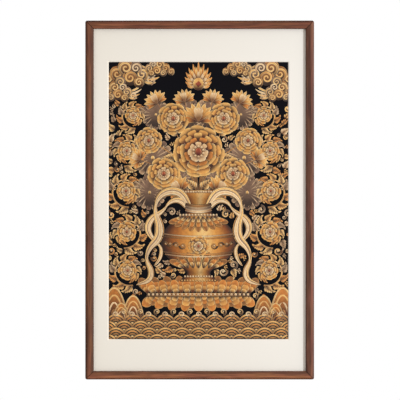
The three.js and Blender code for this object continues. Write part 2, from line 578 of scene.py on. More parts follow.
mat_face = paper("mat_face", colour(240, 237, 231), colour(234, 231, 224), colour(230, 228, 222), 0.7 * MM)
mat_core = paper("mat_core", colour(252, 248, 240), colour(248, 242, 232), colour(249, 244, 235), 0.5 * MM)
bevel_out = Vector((MAT_BEVEL, 0, MAT_BEVEL))
bm = bmesh.new()
loops = [
    rectangle_edges(bm, mat_low, mat_high, mat_low.y),
    rectangle_edges(bm, window_low - bevel_out, window_high + bevel_out, mat_low.y),
    rectangle_edges(bm, window_low, window_high, mat_high.y),
    rectangle_edges(bm, mat_low, mat_high, mat_high.y),
]
for i in range(4):
    bridged = bmesh.ops.bridge_loops(bm, edges=loops[i] + loops[(i + 1) % 4])
    for face in bridged["faces"]:
        face.material_index = 1 if i == SLANT else 0
bmesh.ops.recalc_face_normals(bm, faces=bm.faces[:])
mat = new_piece("mat_board", bm, [mat_face, mat_core])
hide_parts("window_mat")
print("mat:", len(mat.data.polygons), "faces round a window of",
      [round(side / MM) for side in (window_high - window_low).xz], "mm")

# %% [markdown]
# Ground cloth
#
# The ground is blue-black satin, stretched flat behind the mat. It starts as a grid that is
# extruded to the cloth's thickness. The weave is a finish: fine ribs across the cloth that
# break like the floats of a satin.

# %% Make the ground cloth
RIB_SCALE = 578.742  # ribs about 0.54 mm apart
CLOTH_COLUMNS, CLOTH_ROWS = 24, 36


def satin(name):
    material, tree, shader = finish(name, Roughness=0.75, Specular_IOR_Level=0.06)
    place = node(tree, "ShaderNodeTexCoord").outputs["Object"]
    ribs = node(
        tree, "ShaderNodeTexWave",
        {"Vector": place, "Scale": RIB_SCALE, "Distortion": 0.6, "Detail": 1.0},
        wave_type="BANDS", bands_direction="Z",
    )
    floats = node(tree, "ShaderNodeTexNoise", {"Vector": place, "Scale": 700.0, "Detail": 2.0})
    tone = ramp(tree, floats.outputs["Fac"], [(0.35, colour(9, 9, 13)), (0.7, colour(17, 16, 22))])
    tree.links.new(tone, shader.inputs["Base Color"])
    raised(tree, shader, ribs.outputs["Fac"], 0.4, 0.08 * MM)
    return material


satin_ground = satin("satin_ground")
cloth_size = cloth_high - cloth_low
cloth_middle = (cloth_low + cloth_high) / 2
bm = bmesh.new()
bmesh.ops.create_grid(bm, x_segments=CLOTH_COLUMNS, y_segments=CLOTH_ROWS, size=0.5)
bmesh.ops.scale(bm, vec=(cloth_size.x, cloth_size.z, 1), verts=bm.verts[:])
bmesh.ops.rotate(bm, matrix=Matrix.Rotation(math.radians(90), 3, "X"), verts=bm.verts[:])
bmesh.ops.translate(bm, vec=(cloth_middle.x, cloth_low.y, cloth_middle.z), verts=bm.verts[:])
swept = bmesh.ops.extrude_face_region(bm, geom=bm.faces[:], use_keep_orig=True)
back_points = [part for part in swept["geom"] if isinstance(part, bmesh.types.BMVert)]
bmesh.ops.translate(bm, vec=(0, cloth_size.y, 0), verts=back_points)
bmesh.ops.recalc_face_normals(bm, faces=bm.faces[:])
ground = new_piece("ground_cloth", bm, [satin_ground])
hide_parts("textile_panel")
print("ground cloth:", [round(side / MM, 1) for side in cloth_size], "mm")

# %% [markdown]
# Thread colours
#
# The picture is worked in silk and gold thread of many shades. Each patch takes five of them: a
# dark outline at its rim, a pale cord just inside, a deep shade at its root, a bright one at its
# tip, and one along its middle. They are given as they look on screen and turned into light.

# %% Choose the threads
def threads(rim, cord, root, tip, rib):
    """The five shades of a patch, as linear colours in one array."""
    return np.array([colour(*shade)[:3] for shade in (rim, cord, root, tip, rib)])


GOLD = threads((22, 13, 9), (242, 214, 166), (64, 32, 13), (231, 184, 110), (188, 128, 62))
HONEY = threads((24, 13, 8), (240, 206, 148), (86, 40, 14), (229, 172, 94), (194, 130, 60))
AMBER = threads((20, 11, 8), (236, 190, 124), (56, 22, 10), (212, 138, 62), (166, 94, 36))
BRONZE = threads((16, 11, 10), (206, 160, 100), (42, 23, 13), (160, 108, 56), (104, 64, 32))
TAUPE = threads((30, 22, 19), (220, 192, 154), (74, 53, 40), (180, 148, 113), (130, 99, 75))
CREAM = threads((44, 29, 20), (242, 220, 184), (120, 80, 44), (228, 196, 152), (196, 152, 100))
DUSK = threads((18, 14, 13), (178, 148, 116), (54, 38, 29), (132, 104, 84), (92, 68, 52))
INK = threads((9, 7, 8), (46, 32, 22), (16, 11, 10), (36, 23, 15), (24, 16, 12))
ROSE = threads((34, 14, 12), (216, 152, 108), (74, 24, 18), (164, 80, 48), (124, 52, 32))
print("threads: nine sets of five shades")

# %% [markdown]
# Stitched patches
#
# Hand embroidery is made of small padded patches of satin stitch, each outlined with a couched
# cord. There are thousands, so they are made as arrays and joined into a few meshes. A patch
# follows a spine. Rows run along it and columns across it, the top is crowned, and a skirt and a
# flat back close it. Near the mat the stitching flattens, so that it slips under the board.

# %% Choose the sizes of the stitching
RIM_WIDTH, CORD_WIDTH, BODY_WIDTH = 0.8, 1.9, 3.3
MOST_RIM, MOST_CORD, MOST_BODY = 0.16, 0.36, 0.64
LAYER_RISE = 0.16
PATCH_RIM = 0.12
CORD_RISE = 0.16
SUNK = 0.2
BED_STEP, FOOT_STEP, STEPS = 0.012, 0.004, 9
FLATTEN_OVER = 7.0
HEM_REACH = 6.0
LEAST_HALF_WIDTH = 0.22
SHARED_RIM = 0.4
picture_half = np.array([(window_high.x - window_low.x) / 2, (window_high.z - window_low.z) / 2]) / MM
picture_middle = (window_low + window_high) / 2
print("layers of stitching rise by", LAYER_RISE, "mm")

# %% Define the stitched patch
class Stitching:
    """Patches in millimetres from the picture's middle, kept as arrays until they are joined."""

    def __init__(self, name, seed):
        self.name = name
        self.dice = np.random.default_rng(seed)
        self.side = 1.0
        self.points, self.shades, self.stitches = [], [], []
        self.quads, self.quad_cells, self.caps, self.cap_cells = [], [], [], []
        self.boxes = []
        self.size = 0

    def grid(self, across, up, rise, shades, along, aside):
        """Adds one closed patch from its top grid: rows along the spine, columns from right to left.

        What reaches past the window is drawn in behind the mat, and a patch that is all hidden is left out.
        """
        rows, columns = across.shape
        place = np.stack([across, up], -1)
        over = np.maximum(np.abs(place) - picture_half - 1.0, 0.0)
        kept = np.abs(place) - over + over / (1 + over / HEM_REACH)
        place = np.sign(place) * kept
        inside = (picture_half - np.abs(place)).min(-1)
        if inside.max() < 0:
            return
        ease = np.clip((inside + 1.0) / FLATTEN_OVER, 0.0, 1.0)
        rise = PATCH_RIM + (rise - PATCH_RIM) * ease * ease * (3 - 2 * ease)
        top = np.concatenate([place, rise[..., None]], -1)
        foot = top[:, [0, -1]].copy()
        foot[..., 2] = -SUNK - FOOT_STEP * (len(self.boxes) % STEPS)
        self.points += [top.reshape(-1, 3), foot.reshape(-1, 3)]
        self.shades += [shades.reshape(-1, 3), shades[:, [0, -1]].reshape(-1, 3)]
        stitch = np.stack([along, aside], -1)
        self.stitches += [stitch.reshape(-1, 2), stitch[:, [0, -1]].reshape(-1, 2)]
        t = self.size + np.arange(rows * columns).reshape(rows, columns)
        b = self.size + rows * columns + np.arange(rows * 2).reshape(rows, 2)
        self.quads.append(np.concatenate([
            np.stack([t[:-1, :-1], t[1:, :-1], t[1:, 1:], t[:-1, 1:]], -1).reshape(-1, 4),
            np.stack([t[1:, 0], t[:-1, 0], b[:-1, 0], b[1:, 0]], -1),
            np.stack([t[:-1, -1], t[1:, -1], b[1:, 1], b[:-1, 1]], -1),
            np.stack([b[1:, 0], b[:-1, 0], b[:-1, 1], b[1:, 1]], -1),
        ]))
        self.caps += [[*t[0], b[0, 1], b[0, 0]], [*t[-1, ::-1], b[-1, 0], b[-1, 1]]]
        self.lay_out(rows, columns, 2 * np.abs(aside).max(), np.ptp(along))
        self.size += rows * (columns + 2)

    def lay_out(self, rows, columns, breadth, length):
        """Spreads the patch flat on a cell of its own. Its skirts, back and ends share the dark rim."""
        across, up = np.linspace(0, breadth, columns), np.linspace(0, length, rows)
        top = np.stack(np.broadcast_arrays(across, up[:, None]), -1)
        edge = np.stack([0 * up, up], -1)
        hem = edge + (across[1] * SHARED_RIM, 0)
        far_edge = edge + (breadth, 0)
        far_hem = far_edge - (across[1] * SHARED_RIM, 0)
        self.quad_cells.append(np.concatenate([
            np.stack([top[:-1, :-1], top[1:, :-1], top[1:, 1:], top[:-1, 1:]], 2).reshape(-1, 4, 2),
            np.stack([edge[1:], edge[:-1], hem[:-1], hem[1:]], 1),
            np.stack([far_edge[:-1], far_edge[1:], far_hem[1:], far_hem[:-1]], 1),
            np.stack([edge[1:], edge[:-1], hem[:-1], hem[1:]], 1),
        ]))
        fold = up[1] * SHARED_RIM
        self.cap_cells += [
            np.array([*top[0], (breadth, fold), (0, fold)]),
            np.array([*top[-1, ::-1], (0, length - fold), (breadth, length - fold)]),
        ]
        self.boxes.append((breadth, length))

    def ribbon(self, spine, half_width, palette, layer, crown=0.45, rows=6, glow=(0.1, 0.75)):
        """A patch along a spine. half_width gives the half width for each share of the way along."""
        spine = np.asarray(spine, float) * (self.side, 1.0)
        steps = np.hypot(*np.diff(spine, axis=0).T)
        reach = np.concatenate([[0], np.cumsum(steps)])
        share = (1 - np.cos(np.pi * np.linspace(0, 1, rows))) / 2
        line = np.stack([np.interp(share * reach[-1], reach, axis) for axis in spine.T], -1)
        forward = np.gradient(line, axis=0)
        forward /= np.hypot(*forward.T)[:, None] + 1e-9
        normal = np.stack([-forward[:, 1], forward[:, 0]], -1)
        wide = np.maximum(half_width(share), LEAST_HALF_WIDTH)
        most = wide.max()
        inner = [
            1 - min(MOST_RIM, RIM_WIDTH / most),
            1 - min(MOST_CORD, CORD_WIDTH / most),
            1 - min(MOST_BODY, BODY_WIDTH / most),
        ]
        columns = np.array([-1.0, *(-x for x in inner), 0.0, *inner[::-1], 1.0])
        place = line[:, None] + normal[:, None] * (wide[:, None] * columns)[..., None]
        lift = crown * (1 - columns**2)[None] * np.minimum(1, wide / most + 0.3)[:, None]
        cord = np.array([0, 0.3, 1, 0.4, 0.6, 0.4, 1, 0.3, 0]) * CORD_RISE * min(1.0, most / 3)
        bed = layer * LAYER_RISE + PATCH_RIM + BED_STEP * (len(self.boxes) % STEPS)
        shades = self.shading(palette, share, glow)
        along = np.repeat((share * reach[-1])[:, None], len(columns), 1)
        self.grid(place[..., 0], place[..., 1], bed + lift + cord, shades, along, wide[:, None] * columns)

    def shading(self, palette, share, glow):
        """Colours over a patch: rim, cord and body across it, and root to tip along it.

        glow holds the shares where it starts to lighten and is light. None lightens to its middle.
        """
        rim, cord, root, tip, rib = palette * self.dice.uniform(0.92, 1.18)
        start, end = glow or (0.0, 0.5)
        way = share if glow else np.minimum(share, 1 - share)
        light = np.clip((way - start) / (end - start), 0, 1)[:, None]
        light = light * light * (3 - 2 * light)
        body = root + (tip - root) * light
        middle = body + (rib - body) * 0.6 * light
        edge = root + (cord - root) * (0.25 + 0.75 * light)
        outline = rim + 0 * body
        return np.stack([outline, outline, edge, body, middle, body, edge, outline, outline], 1)


print("a patch is a ribbon along a spine")

# %% [markdown]
# Thread finish
#
# The thread colour is kept at each point, and a UV map called stitch holds how far along and
# across its patch each point lies, in millimetres. So the finish can lay the stitches in the
# patch's own direction.

# %% Define the thread finish
STITCH_PITCH = 0.7
STRAND_PITCH = 2.3


def thread_finish(name):
    """Satin stitch: fine stitches slanting off the middle, in strands that catch the light unevenly."""
    material, tree, shader = finish(
        name, Metallic=0.1, Sheen_Weight=0.12, Sheen_Roughness=0.35, Specular_IOR_Level=0.35,
    )
    tint = node(tree, "ShaderNodeAttribute", attribute_name="thread").outputs["Color"]
    lie = node(tree, "ShaderNodeUVMap", uv_map="stitch").outputs[0]
    parts = node(tree, "ShaderNodeSeparateXYZ", {0: lie})
    slant = sum_of(tree, "MULTIPLY", sum_of(tree, "ABSOLUTE", parts.outputs["Y"]), 0.6)
    run = sum_of(tree, "ADD", parts.outputs["X"], slant)

    def ridges(pitch):
        swell = sum_of(tree, "SINE", sum_of(tree, "MULTIPLY", run, 2 * math.pi / pitch))
        return sum_of(tree, "ADD", sum_of(tree, "MULTIPLY", swell, 0.5), 0.5)

    stitch, strand = ridges(STITCH_PITCH), ridges(STRAND_PITCH)
    place = node(tree, "ShaderNodeTexCoord").outputs["Object"]
    fuzz = noise(tree, place, 900.0, 3.0)
    worn = noise(tree, place, 130.0, 4.0)
    depth = sum_of(tree, "MULTIPLY", sum_of(tree, "ADD", stitch, strand), 0.22)
    stitched = blend(tree, depth, tint, (0.6, 0.5, 0.42, 1), "MULTIPLY")
    varied = blend(tree, 0.45, stitched, ramp(tree, worn, [
        (0.3, (0.38, 0.37, 0.36, 1)),
        (0.7, (0.8, 0.79, 0.78, 1)),
    ]), "OVERLAY")
    tree.links.new(varied, shader.inputs["Base Color"])
    gloss = sum_of(tree, "ADD", sum_of(tree, "MULTIPLY", fuzz, 0.3), 0.38)
    tree.links.new(gloss, shader.inputs["Roughness"])
    height = sum_of(tree, "ADD", sum_of(tree, "MULTIPLY", fuzz, 0.4), sum_of(tree, "ADD", stitch, strand))
    raised(tree, shader, height, 0.5, 0.12 * MM)
    return material


gold_thread = thread_finish("gold_thread")
print("stitches every", STITCH_PITCH, "mm")

# %% [markdown]
# Joining the patches
#
# A second map, for baking, gives every patch a cell of its own. Cells of like length are set side
# by side in rows, the way a tailor lays out small pieces, until they fill a square.

# %% Define the layout for baking
CELL_GAP = 1.2


def laid_in_rows(boxes):
    """Sets boxes in rows, longest first. Returns the corner of each box, and the square's side."""
    boxes = np.array(boxes) + CELL_GAP
    side = max(math.sqrt(boxes.prod(1).sum()), boxes.max())
    while True:
        corners = np.zeros_like(boxes)
        across = up = tallest = 0.0
        for k in np.argsort(-boxes[:, 1], kind="stable"):
            if across + boxes[k, 0] > side:
                across, up, tallest = 0.0, up + tallest, 0.0
            corners[k] = across, up
            across += boxes[k, 0]
            tallest = max(tallest, boxes[k, 1])
        if up + tallest <= side:
            return corners + CELL_GAP / 2, side
        side *= 1.02


print("cells stand", CELL_GAP, "mm apart")

# %% Define the joining
STITCH_CREASE = 60


def joined(work):
    """Makes one piece of all the patches of a Stitching."""
    flat = np.concatenate(work.points)
    shades = np.concatenate(work.shades)
    stitches = np.concatenate(work.stitches)
    corner, side = laid_in_rows(work.boxes)
    faces = [np.concatenate(work.quads)]
    cells = [np.concatenate([cell + corner[k] for k, cell in enumerate(work.quad_cells)])]
    for size in sorted({len(cap) for cap in work.caps}):
        picked = [k for k, cap in enumerate(work.caps) if len(cap) == size]
        faces.append(np.array([work.caps[k] for k in picked]))
        cells.append(np.array([work.cap_cells[k] + corner[k // 2] for k in picked]))
    corners = np.concatenate([part.ravel() for part in faces]).astype(np.int32)
    lengths = np.concatenate([np.full(len(part), part.shape[1]) for part in faces]).astype(np.int32)
    starts = np.concatenate([[0], np.cumsum(lengths)[:-1]]).astype(np.int32)
    places = np.stack([
        picture_middle.x + flat[:, 0] * MM,
        cloth_low.y - flat[:, 2] * MM,
        picture_middle.z + flat[:, 1] * MM,
    ], -1)
    mesh = bpy.data.meshes.new(work.name)
    mesh.vertices.add(len(flat))
    mesh.loops.add(len(corners))
    mesh.polygons.add(len(lengths))
    mesh.vertices.foreach_set("co", places.astype(np.float32).ravel())
    mesh.loops.foreach_set("vertex_index", corners)
    mesh.polygons.foreach_set("loop_start", starts)
    mesh.polygons.foreach_set("loop_total", lengths)
    mesh.update(calc_edges=True)
    thread = mesh.attributes.new("thread", "FLOAT_COLOR", "POINT")
    rgba = np.concatenate([shades, np.ones((len(shades), 1))], 1).astype(np.float32)
    thread.data.foreach_set("color", rgba.ravel())
    stitch = mesh.uv_layers.new(name="stitch")
    stitch.uv.foreach_set("vector", stitches[corners].astype(np.float32).ravel())
    bake = mesh.uv_layers.new(name="OFBake")
    spread = np.concatenate([part.reshape(-1, 2) for part in cells]) / side
    bake.uv.foreach_set("vector", spread.astype(np.float32).ravel())
    mesh.shade_smooth()
    mesh.set_sharp_from_angle(angle=math.radians(STITCH_CREASE))
    mesh.materials.append(gold_thread)
    piece = bpy.data.objects.new(work.name, mesh)
    bpy.context.scene.collection.objects.link(piece)
    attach(piece, "root")
    print(work.name, len(work.boxes), "patches,", int((lengths - 2).sum()), "triangles, laid out on",
          round(side), "mm")
    return piece


print("joining: one mesh for each stitching")

# %% [markdown]
# Shapes of patches
#
# A leaf lobe is widest near its root, a petal is broad at its tip, a lotus petal ends in a point,
# and a stem keeps its width. Each is a function of the share of the way along. A spine is a curve
# through three or four given points.

# %% Define the outlines
def lobe(width):
    return lambda t: width * np.sin(np.pi * t**0.8) ** 0.7


def petal(width):
    return lambda t: width * 1.12 * t**0.55 * np.clip(1 - t**6, 0, 1) ** 0.5


def pointed(width):
    return lambda t: width * np.sin(np.pi * t**1.3) ** 0.72


def tapered(width):
    return lambda t: width * 1.25 * t**0.5 * np.clip(1 - t**2.8, 0, 1) ** 0.66


def stalk(width, taper=0.5):
    return lambda t: width * (1 - taper * t)


def bead_outline(width):
    return lambda t: width * np.sqrt(np.clip(1 - (2 * t - 1) ** 2, 0, 1))


def half_disc(width):
    return lambda t: width * np.sqrt(1 - t**2)


def bell(width):
    return lambda t: width * np.clip(1 - t, 0, 1) ** 0.62


print("outlines: lobe, petal, pointed, tapered, stalk, bead, half disc, bell")

# %% Define the spines
def curve(*points):
    """A smooth line: a Bezier curve on three or four points."""
    points = [np.asarray(point, float) for point in points]
    t = np.linspace(0, 1, 24)[:, None]
    while len(points) > 1:
        points = [a + (b - a) * t for a, b in zip(points, points[1:])]
    return points[0]


def heading(angle):
    """The unit step in a direction given in degrees from straight up, clockwise."""
    return np.array([math.sin(math.radians(angle)), math.cos(math.radians(angle))])


def bowed(start, angle, length, bow=0.0):
    """A line that sets out at an angle and bends by bow degrees on its way."""
    start = np.asarray(start, float)
    middle = start + heading(angle) * length * 0.5
    return curve(start, middle, middle + heading(angle + bow) * length * 0.5)


def spiral(middle, radius, turns, start, hand, inner):
    """A line that winds from a radius to its inner share. start is in degrees, and hand is 1 or -1."""
    t = np.linspace(0, 1, int(40 * turns) + 12)
    angle = np.radians(start) + hand * 2 * np.pi * turns * t
    reach = radius * (1 - (1 - inner) * t**0.85)
    return np.asarray(middle, float) + np.stack([np.sin(angle), np.cos(angle)], -1) * reach[:, None]


print("spines: curve, bowed, spiral")

# %% [markdown]
# Leaves and tendrils
#
# The ordinary leaf of such ornament curls, with lobes along a rib. Its lowest lobes are worked
# first, so that those nearer to the tip lie over them. A tendril is a small spiral with a bead in
# it, and a bead is a patch with a round outline.

# %% Define leaves and tendrils
def bead(work, middle, radius, palette, layer, crown=None):
    x, y = middle
    crown = 0.4 + 0.03 * radius if crown is None else crown
    rows = int(np.clip(5 + radius / 2, 6, 16))
    work.ribbon([(x, y - radius), (x, y + radius)], bead_outline(radius), palette, layer, crown, rows)


def acanthus(work, root, angle, length, palette, layer, bow, pairs=4):
    """A curled leaf: pairs of lobes along a rib, each bent towards the tip."""
    rib = bowed(root, angle, length * 0.78, bow)
    for k in range(pairs):
        share = 0.1 + 0.75 * k / pairs
        spot = rib[int(share * (len(rib) - 1))]
        size = length * (0.46 - 0.055 * k)
        for hand in (-1, 1):
            line = bowed(spot, angle + bow * share + hand * (66 - 7 * k), size, -hand * 52)
            work.ribbon(line, lobe(size * 0.27), palette, layer + 0.3 * k)
    tip = bowed(rib[-5], angle + bow, length * 0.36, bow * 0.6)
    work.ribbon(tip, lobe(length * 0.1), palette, layer + 1.4)
    work.ribbon(rib, stalk(length * 0.032, 0.6), BRONZE, layer + 1.8, 0.3, 8)


def curl(work, middle, radius, start, hand, palette, layer, rows=14):
    """A small tendril rolled into a ring, with a bead in it."""
    line = spiral(middle, radius, 1.05, start, hand, 0.4)
    work.ribbon(line, stalk(radius * 0.3, 0.45), palette, layer, 0.4, rows)
    bead(work, middle, radius * 0.3, CREAM, layer + 0.5)


print("motifs: bead, acanthus, curl")

# %% [markdown]
# Blossoms
#
# A full blossom has rings of broad petals round a heart of beads. Outer rings are worked first, so
# that the inner ones lie over them, and each petal is light only where the next ring leaves it
# bare. Small random turns keep the petals from looking stamped.

# %% Define blossoms
def blossom(work, middle, radius, turn, layer, rings):
    """A full flower. rings lists (petals, inner share, outer share, palette) from the outside in."""
    middle = np.asarray(middle, float)
    for level, (count, inner, outer, palette) in enumerate(rings):
        length = radius * (outer - inner)
        hidden = (rings[level + 1][2] - inner) / (outer - inner) if level + 1 < len(rings) else 0.4
        width = 1.45 * math.pi * radius * (0.7 * outer + 0.3 * inner) / count
        order = [*range(0, count, 2), *range(1, count, 2)]
        for k in order:
            angle = turn + 360 * (k + 0.5 * (level % 2)) / count + work.dice.uniform(-4, 4)
            reach = length * work.dice.uniform(0.93, 1.06)
            line = bowed(middle + heading(angle) * radius * inner, angle, reach, work.dice.uniform(-12, 12))
            rows = int(8 + length / 8)
            glow = (hidden - 0.12, 0.97)
            work.ribbon(line, petal(width), palette, layer + 1.2 * level, 0.5, rows, glow=glow)
    top = layer + 1.2 * len(rings)
    bead(work, middle, radius * 0.14, ROSE, top)
    for k in range(10):
        bead(work, middle + heading(turn + 36 * k) * radius * 0.2, radius * 0.055, CREAM, top + 0.4)


GREAT_RINGS = [
    # petals, inner share, outer share, threads
    (11, 0.45, 1.0, GOLD),
    (10, 0.36, 0.86, HONEY),
    (9, 0.27, 0.71, GOLD),
    (8, 0.18, 0.56, AMBER),
    (7, 0.08, 0.4, CREAM),
]
FULL_RINGS = [
    (9, 0.36, 1.0, GOLD),
    (8, 0.26, 0.8, HONEY),
    (7, 0.16, 0.6, GOLD),
    (6, 0.06, 0.4, CREAM),
]
SMALL_RINGS = [
    (8, 0.3, 1.0, HONEY),
    (7, 0.18, 0.74, GOLD),
    (5, 0.06, 0.46, CREAM),
]


print("rings of petals:", len(GREAT_RINGS), len(FULL_RINGS), len(SMALL_RINGS))

# %% [markdown]
# Lotus
#
# A lotus seen from the side is a fan of pointed petals from one root. Its leaf is wide and round,
# with a scalloped rim and forked ribs, and its quiet brown sets off the gold of the flowers.

# %% Define the lotus, its leaf and stems
def lotus(work, root, angle, length, layer):
    """A lotus from the side: rows of petals that fan out from one root."""
    rows = [
        # leans in degrees, share of the length, threads
        ((-104, 104, -84, 84, -62, 62), 0.8, AMBER),
        ((-72, 72, -48, 48, -24, 24, 0), 1.0, GOLD),
        ((-58, 58, -34, 34), 0.84, HONEY),
        ((-16, 16, 0), 0.74, CREAM),
    ]
    for level, (leans, share, palette) in enumerate(rows):
        for lean in leans:
            line = bowed(root, angle + lean * 0.62, length * share, lean * 0.5)
            work.ribbon(line, pointed(length * 0.17), palette, layer + level, 0.5, 9, glow=(0.25, 0.95))


LEAF_RIBS = 18


def lotus_leaf(work, middle, radius, turn, layer):
    """A wide round leaf with a scalloped rim and pale ribs that fork near it."""
    middle = np.asarray(middle, float)
    for k in range(LEAF_RIBS):
        angle = turn + 360 * k / LEAF_RIBS
        line = bowed(middle + heading(angle) * radius * 0.6, angle, radius * work.dice.uniform(0.37, 0.43))
        work.ribbon(line, petal(radius * 0.19), (TAUPE, DUSK)[k % 2], layer, 0.4, 7, glow=(0.3, 1.0))
    bead(work, middle, radius * 0.84, DUSK, layer + 0.7, 0.5)
    for k in range(LEAF_RIBS):
        angle = turn + 360 * (k + 0.5) / LEAF_RIBS
        line = bowed(middle + heading(angle) * radius * 0.1, angle, radius * 0.72, 14)
        work.ribbon(line, stalk(radius * 0.034, 0.4), TAUPE, layer + 1.5, 0.3, glow=(-0.2, 0.6))
        line = bowed(middle + heading(angle) * radius * 0.5, angle + 14, radius * 0.3, -10)
        work.ribbon(line, stalk(radius * 0.026, 0.4), TAUPE, layer + 1.4, 0.3, glow=(-0.2, 0.6))
    bead(work, middle, radius * 0.12, GOLD, layer + 2)


def stem(work, line, width, layer, palette=BRONZE, rows=40):
    work.ribbon(line, stalk(width), palette, layer, 0.4, rows, glow=(-0.3, 0.6))


print("motifs: lotus, lotus leaf, stem")

# %% [markdown]
# Clouds, waves and peaks
#
# Rolled clouds, scales of waves and steep peaks frame many such hangings. A cloud is a few
# spirals over a dark bed, with streamers. A wave is a set of arcs, one inside the other, and a
# peak is the same idea drawn up into a steep bell. The jewel is two beads in a fan of flames.

# %% Define clouds
CLOUD_ROLLS = [
    # across, up, radius, start angle, hand
    (-0.86, -0.16, 0.24, 190, 1),
    (0.86, -0.18, 0.22, 170, -1),
    (-0.5, 0.06, 0.31, 200, 1),
    (0.52, 0.04, 0.29, 160, -1),
    (-0.14, 0.3, 0.34, 200, 1),
    (0.28, 0.3, 0.26, 150, -1),
    (0.04, -0.1, 0.31, 100, -1),
    (-0.36, -0.26, 0.22, 240, 1),
    (0.4, -0.28, 0.22, 120, -1),
]
CLOUD_THREADS = (GOLD, CREAM, HONEY, GOLD)


def cloud(work, middle, size, layer, tail):
    """A bank of rolled clouds. tail is the side its streamers leave on, 1 or -1."""
    middle = np.asarray(middle, float)
    for k in range(4):
        root = middle + np.array([tail * size * 0.6, -size * (0.1 * k - 0.06)])
        line = bowed(root, tail * (82 + 12 * k), size * (1.0 - 0.15 * k), -tail * 46)
        work.ribbon(line, lobe(size * 0.07), CLOUD_THREADS[k], layer, 0.4, 14, glow=(-0.3, 0.5))
    for k, (across, up, radius, start, hand) in enumerate(CLOUD_ROLLS):
        spot = middle + np.array([across * tail, up]) * size
        bead(work, spot, radius * size * 1.04, (BRONZE, DUSK)[k % 2], layer + 0.6 * k, 0.2)
        line = spiral(spot, radius * size * 0.88, 1.6, tail * start, tail * hand, 0.12)
        work.ribbon(
            line, stalk(radius * size * 0.22, 0.6), CLOUD_THREADS[k % 4], layer + 0.6 * k + 0.5, 0.45, 46,
            glow=(-0.1, 0.5),
        )


print("rolls in a cloud:", len(CLOUD_ROLLS))

# %% Define waves and peaks
WAVE_MARGIN = 5.0


def wave(work, middle, radius, palettes, layer):
    """Arcs one inside the other on a dark half disc, from the crest inwards, brightest at the top."""
    middle = np.asarray(middle, float)
    crest = middle + (0, radius)
    work.ribbon([middle, crest], half_disc(radius), INK, layer - 0.5, 0.1, 12)
    half = radius / len(palettes) * 0.5
    angles = np.radians(np.linspace(-78, 78, 48))
    rays = np.stack([np.sin(angles), np.cos(angles)], -1)
    for k, palette in enumerate(palettes):
        line = middle + rays * (radius - half - 2 * half * k)
        line = line[(np.abs(line) < picture_half + WAVE_MARGIN).all(1)]
        if len(line) > 2:
            work.ribbon(line, stalk(half * 0.74, 0), palette, layer, 0.35, 16, glow=None)


def peak(work, foot, width, height, layer):
    """A steep mountain: a dark bed, and bands on it that follow its outline, one inside the other."""
    x, y = foot
    work.ribbon([(x, y), (x, y + height)], bell(width / 2), AMBER, layer, 0.5, 28, glow=(0.0, 1.2))
    for k, palette in enumerate((GOLD, HONEY, CREAM, BRONZE)):
        share = 0.96 - 0.23 * k
        reach, tall = width / 2 * share - 2, height * share * 1.3
        line = curve((x - reach, y), (x - reach * 0.5, y + tall), (x + reach * 0.5, y + tall), (x + reach, y))
        work.ribbon(line, stalk(width * 0.035, 0), palette, layer + 0.8, 0.45, 34, glow=None)


print("motifs: wave, peak")

# %% Define the jewel
def jewel(work, middle, radius, layer):
    """A round jewel in a wreath of flames."""
    rings = ((13, 3.1, AMBER), (12, 2.5, HONEY), (9, 1.9, CREAM))
    for ring, (count, share, palette) in enumerate(rings):
        for k in range(count):
            angle = -120 + 240 * k / (count - 1)
            length = radius * share * (1.15 - 0.45 * abs(angle) / 120)
            root = np.asarray(middle, float) + heading(angle) * radius * 0.7
            line = bowed(root, angle, length - radius * 0.7, -angle * 0.6)
            work.ribbon(line, lobe(radius * 0.27), palette, layer + 0.6 * ring, 0.5, 9)
    bead(work, middle, radius, GOLD, layer + 2.2, 0.9)
    bead(work, middle, radius * 0.62, ROSE, layer + 3.6, 0.7)


print("motif: jewel")

# %% [markdown]
# The vase
#
# A treasure vase with lotus petals on its shoulder and foot is an old, common emblem. It gives
# the picture its large smooth form. Its outline is a short table of heights and half widths that
# is smoothed, and its gold is shaded round from a pale streak to dark edges.

# %% Define the vase
VASE_ROWS = np.array([
    # up, half width
    (-206, 46), (-198, 46), (-190, 30), (-180, 28), (-168, 48), (-145, 80), (-112, 97), (-82, 93),
    (-56, 70), (-38, 41), (-24, 28), (-6, 27), (8, 33), (18, 50), (26, 50),
])
VASE_SHADES = [
    # place across, colour
    (-1.0, (16, 10, 8)),
    (-0.86, (74, 36, 14)),
    (-0.6, (160, 94, 34)),
    (-0.2, (214, 150, 70)),
    (0.14, (238, 196, 128)),
    (0.48, (212, 146, 66)),
    (0.8, (128, 68, 24)),
    (1.0, (18, 11, 8)),
]
SMOOTHING = 7


def vase_body(work, layer):
    """The smooth body of the vase, as one wide patch."""
    up = np.linspace(VASE_ROWS[0, 0], VASE_ROWS[-1, 0], 78)
    rough = np.interp(up, *VASE_ROWS.T)
    weights = np.hanning(SMOOTHING + 2)[1:-1]
    padded = np.pad(rough, SMOOTHING // 2, mode="edge")
    half = np.convolve(padded, weights / weights.sum(), mode="valid")
    columns = np.sin(np.linspace(np.pi / 2, -np.pi / 2, 27))
    across = half[:, None] * columns
    up = up[:, None] + 0 * across
    rise = layer * LAYER_RISE + 1.1 * np.sqrt(1 - 0.98 * columns**2)[None] + 0 * across
    stops = [place for place, _ in VASE_SHADES]
    light = np.array([colour(*shade)[:3] for _, shade in VASE_SHADES])
    ring = np.stack([np.interp(columns, stops, channel) for channel in light.T], -1)
    waist = 0.5 + 0.5 * np.clip((half - 26) / 40, 0, 1)
    work.grid(across, up, rise, ring[None] * waist[:, None, None], up, across)


